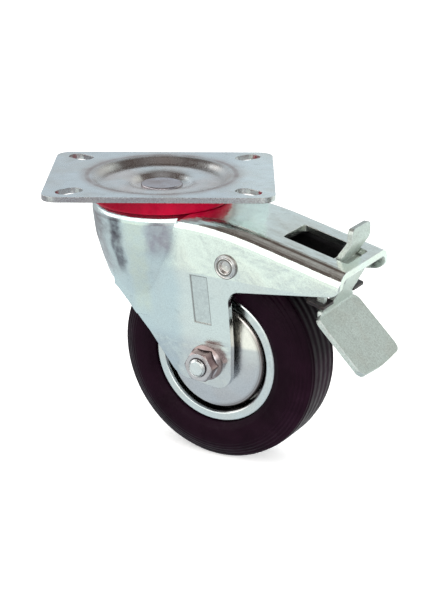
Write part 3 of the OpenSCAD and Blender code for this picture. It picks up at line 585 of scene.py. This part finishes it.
def spring_steel():
    """The brake leaf: blackened spring steel, browner where it has rubbed along its edges."""
    made, tree, shader, place = material("black_spring_steel")
    rolled = use(tree, ROLLED_EDGE, {"Radius": 0.4 * MM})
    cloud = clouds(tree, place, 150.0, (0.35, 0.7), detail=4.0, rough=0.6)
    colour = blend(tree, cloud, (0.020, 0.016, 0.020, 1), (0.045, 0.035, 0.035, 1))
    colour = blend(tree, times(tree, rolled.outputs["Edge"], 0.5), colour, (0.22, 0.16, 0.12, 1))
    pits = noise(tree, place, 1100.0, rough=0.6)
    normal = bumped(tree, pits, 0.06 * MM, 0.4, rolled.outputs["Normal"])
    feed(tree, shader, {"Base Color": colour, "Roughness": spread(tree, cloud, 0.0, 1.0, 0.30, 0.48),
                        "Normal": normal, "Metallic": 0.6})
    return made


def dress_nodes():
    """Gives each CAD node its finish, and returns the bolt's, which the added thread takes too."""
    plate = plated("plate_zinc", (0.74, 0.80, 0.83, 1), (0.73, 0.72, 0.69, 1), patch=45.0, warmth=0.5,
                   smooth=0.18, wave=0.35 * MM, tint=plate_tint, soften=dish_soften, roll=4.2 * MM,
                   stretch=(25.0, 500.0, 500.0))
    pin = plated("pin_zinc", (0.50, 0.47, 0.51, 1), (0.44, 0.36, 0.36, 1), patch=120.0, warmth=0.7,
                 smooth=0.20, dull=0.36, wave=0.2 * MM)
    sheet = plated("fork_zinc", (0.86, 0.92, 0.88, 1), (0.88, 0.86, 0.78, 1), patch=38.0, warmth=0.35,
                   smooth=0.12, dull=0.25, wave=0.9 * MM, tint=fork_tint, soften=apron_soften)
    cover = plated("rim_zinc", (0.78, 0.80, 0.81, 1), (0.76, 0.71, 0.68, 1), patch=55.0, warmth=0.35,
                   smooth=0.17, dull=0.30, wave=0.25 * MM, tint=cover_tint)
    rim = plated("pressed_rim_zinc", (0.74, 0.79, 0.80, 1), (0.72, 0.67, 0.62, 1), patch=55.0, warmth=0.35,
                 smooth=0.12, dull=0.24, wave=0.25 * MM, tint=rim_tint)
    # The nut's zinc is darker and browner than the bolt's: partly painted reflection.
    nut = plated("nut_zinc", (0.68, 0.64, 0.66, 1), (0.50, 0.42, 0.41, 1), patch=110.0, warmth=0.6,
                 dull=0.28, wave=0.10 * MM, edge=0.4 * MM, tint=nut_painted_light)
    bolt = plated("fastener_zinc", (0.84, 0.87, 0.88, 1), (0.74, 0.70, 0.66, 1), patch=170.0,
                  smooth=0.18, dull=0.32, wave=0.12 * MM, edge=0.4 * MM)
    rivet = plated("rivet_zinc", (0.74, 0.74, 0.74, 1), (0.60, 0.52, 0.47, 1), patch=170.0, warmth=0.5,
                   smooth=0.14, dull=0.28, wave=0.10 * MM, edge=0.4 * MM, tint=rivet_tint)
    finishes = {
        plate: ("top_plate",),
        pin: ("king_pin",),
        sheet: ("fork",),
        rim: ("near_rim", "far_rim"),
        cover: ("near_dust_cover", "far_dust_cover"),
        nut: ("axle_nut", "far_washer"),
        bolt: ("axle_bolt",),
        rivet: ("pivot_rivets",),
        bearing_steel(): ("race_spacer", "lower_race", "lock_ring", "king_nut", "upper_balls",
                          "lower_balls", "axle_sleeve", "hub_tube", "roller_cage", "rollers"),
        seal_plastic(): ("dust_seal",),
        rubber(): ("tyre",),
        brushed_pedal(): ("brake_lever",),
        spring_steel(): ("brake_leaf",),
    }
    for finish, names in finishes.items():
        for name in names:
            nodes[name].data.materials.clear()
            nodes[name].data.materials.append(finish)
    return bolt


# Pieces

def surface(name, points, finish):
    """A mesh from a grid of points, rows by columns by three, closed round its columns. Each face joins
    two neighbours in one row to the same two in the next."""
    rows, columns = points.shape[:2]
    index = np.arange(rows * columns).reshape(rows, columns)
    right = np.roll(index, -1, axis=1)
    faces = np.stack([index[:-1], right[:-1], right[1:], index[1:]], axis=-1).reshape(-1, 4)
    mesh = bpy.data.meshes.new(name)
    mesh.from_pydata(points.reshape(-1, 3).tolist(), [], faces.tolist())
    mesh.polygons.foreach_set("use_smooth", np.ones(len(faces), bool))
    mesh.materials.append(finish)
    mesh.update()
    made = bpy.data.objects.new(name, mesh)
    bpy.context.scene.collection.objects.link(made)
    return made


def on_axle(back, up, out):
    """Points from arrays in metres about the axle: back along the fork, up, and out towards the near
    side. They are moved to the axle's place and turned with the fork about the swivel axis."""
    x, y, z = AXLE[0] + back, -out, AXLE[1] + up
    c, s = math.cos(SWIVEL_TURN), math.sin(SWIVEL_TURN)
    return np.stack([x * c - y * s, x * s + y * c, z], axis=-1)


def axle_thread(finish):
    """The thread on the bolt's end. Its ridge is carried along a helix: the radius is the core's plus a
    cosine crest across the ridge, the place along the axle is pitch times turns plus the place across the
    ridge, and the crest sinks into the core at both ends."""
    pitch, core, ridge = 1.25 * MM, 3.86 * MM, 0.26 * MM
    ridge_width = 0.8 * pitch
    start, end = 27.3 * MM, 28.9 * MM       # out from the fork's middle plane
    steps_round, steps_across = 48, 8
    fade_turns = 1 / 3
    turns = (end - start) / pitch + 1.0
    turn = np.linspace(0.0, turns, int(turns * steps_round))[:, None]
    across = np.linspace(-0.5, 0.5, steps_across, endpoint=False)[None, :]
    crest = np.cos(across * 2 * np.pi) * 0.5 + 0.5
    fade = np.clip(np.minimum(turn, turns - turn) / fade_turns, 0.0, 1.0)
    radius = core + ridge * crest * fade
    angle = turn * 2 * np.pi
    out = start - pitch / 2 + pitch * turn + across * ridge_width
    made = surface("axle_thread", on_axle(radius * np.cos(angle), radius * np.sin(angle), out), finish)
    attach(made, "swivel")


# Stage, light and camera

def build_floor():
    """A wide pale floor under the wheel, lit a little by itself as a light table is. It is clear from
    below, so that the object's underside can be looked at."""
    half_side, level = 6.0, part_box("tyre")[0].z
    corners = [(x * half_side, y * half_side, level) for x, y in ((-1, -1), (1, -1), (1, 1), (-1, 1))]
    mesh = bpy.data.meshes.new("floor")
    mesh.from_pydata(corners, [], [(0, 1, 2, 3)])
    made, tree, shader, place = material("floor_paper")
    colour = blend(tree, clouds(tree, place, 3.0, (0.3, 0.7), detail=2.0),
                   (0.96, 0.96, 0.96, 1), (0.98, 0.98, 0.98, 1))
    feed(tree, shader, {"Base Color": colour, "Roughness": 0.9, "Emission Color": (1, 1, 1, 1),
                        "Emission Strength": 0.35})
    out = shader.outputs["BSDF"].links[0].to_node
    clear = add(tree, "ShaderNodeBsdfTransparent").outputs["BSDF"]
    below = add(tree, "ShaderNodeNewGeometry").outputs["Backfacing"]
    sided = add(tree, "ShaderNodeMixShader", {0: below, 1: shader.outputs["BSDF"], 2: clear}).outputs[0]
    feed(tree, out, {"Surface": sided})
    mesh.materials.append(made)
    floor = bpy.data.objects.new("floor", mesh)
    floor.visible_glossy = False
    bpy.context.scene.collection.objects.link(floor)


def build_world():
    """The studio that the plating mirrors: STUDIO_RAMP over height, with the table up to 21 degrees below
    level and the ceiling from 45 degrees above it, and the PANELS on its walls. What the camera sees
    directly is plain white."""
    world = bpy.data.worlds.new("studio")
    bpy.context.scene.world = world
    world.use_nodes = True
    tree = world.node_tree
    tree.nodes.clear()
    x, y, rise = parts(tree, add(tree, "ShaderNodeTexCoord").outputs["Generated"])
    height = add(tree, "ShaderNodeMapRange", {"Value": rise, "From Min": -1.0}).outputs["Result"]
    ramp = add(tree, "ShaderNodeValToRGB", {"Fac": height})
    stops = ramp.color_ramp.elements
    stops[0].position, stops[0].color = STUDIO_RAMP[0]
    stops[1].position, stops[1].color = STUDIO_RAMP[-1]
    for position, colour in STUDIO_RAMP[1:-1]:
        stops.new(position).color = colour
    bearing = maths(tree, "ARCTAN2", y, x)
    seen = ramp.outputs["Color"]
    foot, top = 0.04, 0.05                  # softness of the panels' lower and upper ends
    for middle, half, soft, low, high, colour in PANELS:
        away = maths(tree, "SUBTRACT", bearing, math.radians(middle))
        gap = maths(tree, "ABSOLUTE", maths(tree, "WRAP", away, math.pi, -math.pi))
        across = spread(tree, gap, math.radians(half + soft), math.radians(half - soft))
        above = spread(tree, rise, low - foot, low + foot)
        below = spread(tree, rise, high + top, high - top)
        seen = blend(tree, times(tree, across, above, below), seen, colour)
    camera_ray = add(tree, "ShaderNodeLightPath").outputs["Is Camera Ray"]
    studio = add(tree, "ShaderNodeBackground", {"Color": seen, "Strength": 1.0}).outputs[0]
    white = add(tree, "ShaderNodeBackground", {"Color": (1, 1, 1, 1), "Strength": 1.0}).outputs[0]
    mixed = add(tree, "ShaderNodeMixShader", {0: camera_ray, 1: studio, 2: white}).outputs[0]
    add(tree, "ShaderNodeOutputWorld", {"Surface": mixed})


def aim(made, place, target):
    """Puts a light or camera at place, looking at target."""
    made.location = place
    made.rotation_euler = (Vector(target) - Vector(place)).to_track_quat("-Z", "Y").to_euler()
    bpy.context.scene.collection.objects.link(made)


def area_light(name, place, target, size, power):
    """A square soft light in metres and watts, which nothing mirrors."""
    lamp = bpy.data.lights.new(name, "AREA")
    lamp.energy = power
    lamp.size = size
    made = bpy.data.objects.new(name, lamp)
    made.visible_glossy = False
    aim(made, place, target)


def build_lights():
    """Soft lights for the floor, the rubber and the seal. The metal mirrors the studio instead."""
    area_light("overhead", place=(0.0, 0.3, 2.5), target=(0, 0.3, -0.05), size=5.0, power=95.0)
    area_light("side_fill", place=(1.00, -0.60, -0.04), target=(0.02, 0, -0.03), size=0.7, power=26.0)


def build_camera():
    """The camera at the photograph's place: 0.75 m away, looking down by 20 degrees."""
    camera = bpy.data.cameras.new("camera")
    camera.lens = 94.66
    camera.sensor_width = 36.0
    camera.sensor_fit = "AUTO"
    camera.clip_start = 0.01
    made = bpy.data.objects.new("camera", camera)
    aim(made, place=(0.03445, -0.7054, 0.1927), target=(0.02325, 0.0, -0.06199))
    bpy.context.scene.camera = made


bpy.context.scene.view_settings.view_transform = "Standard"
build_camera()
fastener_finish = dress_nodes()
axle_thread(fastener_finish)
build_floor()
build_world()
build_lights()
